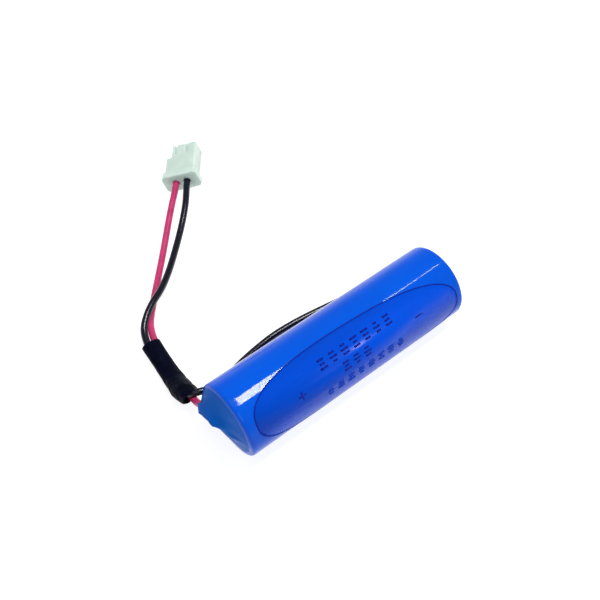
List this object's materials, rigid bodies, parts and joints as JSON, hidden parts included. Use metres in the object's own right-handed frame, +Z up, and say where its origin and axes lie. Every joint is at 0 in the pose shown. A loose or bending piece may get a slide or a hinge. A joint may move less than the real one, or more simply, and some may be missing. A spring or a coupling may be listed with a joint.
{
  "type": "cylindrical battery cell with leads",
  "caption": "Round lithium cell in a glossy blue shrink sleeve with an oval label, red and black leads, a black bundling tube and a white two way connector.",
  "frame": {"origin": "middle of the wrapped cell's length, on the surface under it", "axes": "+X along the cell towards its negative end, +Y towards the side the leads lie on, +Z up"},
  "size_m": [0.0546, 0.073, 0.0148],
  "materials": {
    "steel": "satin nickel plated steel",
    "lithium": "dull soft metal",
    "glass_fibre": "non-woven glass fibre",
    "carbon": "porous pressed carbon",
    "glass": "fused seal",
    "fish_paper": "smooth board",
    "nickel": "bright nickel",
    "solder": "bright",
    "jacket_film": "thin shrink film",
    "sleeve_film": "glossy blue shrink film",
    "label_film": "satin blue film with a dark blue outline",
    "red_insulation": "satin vinyl",
    "black_insulation": "satin vinyl",
    "copper": "tinned strand",
    "shrink_tube": "satin, creased",
    "nylon": "natural nylon, slightly see-through",
    "tin": "tin plated"
  },
  "bodies": {
    "root": {"can": "steel", "header_plate": "steel", "feedthrough_pin": "steel", "current_collector": "steel", "lithium_anode": "lithium", "separator": "glass_fibre", "bottom_insulator": "glass_fibre", "top_insulator": "glass_fibre", "carbon_cathode": "carbon", "glass_seal": "glass", "insulating_ring": "fish_paper", "positive_end_disc": "fish_paper", "positive_cap": "nickel", "positive_tab": "nickel", "negative_tab": "nickel", "positive_solder": "solder", "negative_solder": "solder", "inner_jacket": "jacket_film", "outer_sleeve": "sleeve_film", "oval_label": "label_film", "red_insulation": "red_insulation", "black_insulation": "black_insulation", "red_conductor": "copper", "black_conductor": "copper", "bundling_tube": "shrink_tube", "connector_housing": "nylon", "red_crimp_terminal": "tin", "black_crimp_terminal": "tin"}
  },
  "joints": []
}
